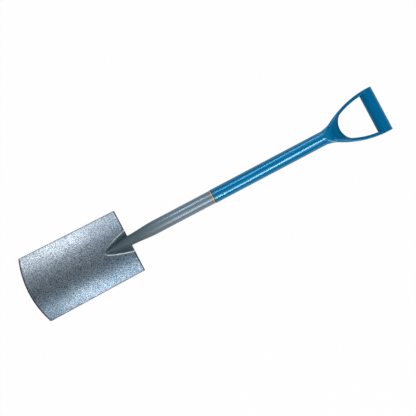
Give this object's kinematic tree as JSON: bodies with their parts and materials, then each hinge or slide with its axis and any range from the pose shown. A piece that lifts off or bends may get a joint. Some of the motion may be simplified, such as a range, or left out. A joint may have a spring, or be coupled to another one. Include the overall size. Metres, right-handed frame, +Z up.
{
  "type": "border spade",
  "caption": "Border spade: hollow steel blade with a V shaped frog, tubular shaft with a plastic sleeve, and a D handle.",
  "frame": {"origin": "middle of the footprint, on the surface that the spade lies on with its back down", "axes": "+X along the shaft from the cutting edge to the grip, +Y across the blade, +Z up out of the blade's hollow face"},
  "size_m": [0.9706, 0.1704, 0.0461],
  "materials": {
    "blade": "hammered grey paint, glossy",
    "shaft_tube": "hammered grey paint, glossy",
    "frog_weld": "painted over weld",
    "trim_band": "satin gilt",
    "shaft_sleeve": "glossy blue",
    "handle_fork": "semi gloss blue moulding",
    "handle_rivet": "plain, hidden",
    "grip": "semi gloss blue moulding",
    "grip_rod": "plain steel, ends flush with the arms"
  },
  "bodies": {
    "root": {"blade": "blade", "shaft_tube": "shaft_tube", "frog_weld_left": "frog_weld", "frog_weld_right": "frog_weld", "trim_band": "trim_band", "shaft_sleeve": "shaft_sleeve", "handle_fork": "handle_fork", "handle_rivet": "handle_rivet", "grip": "grip", "grip_rod": "grip_rod"}
  },
  "joints": []
}
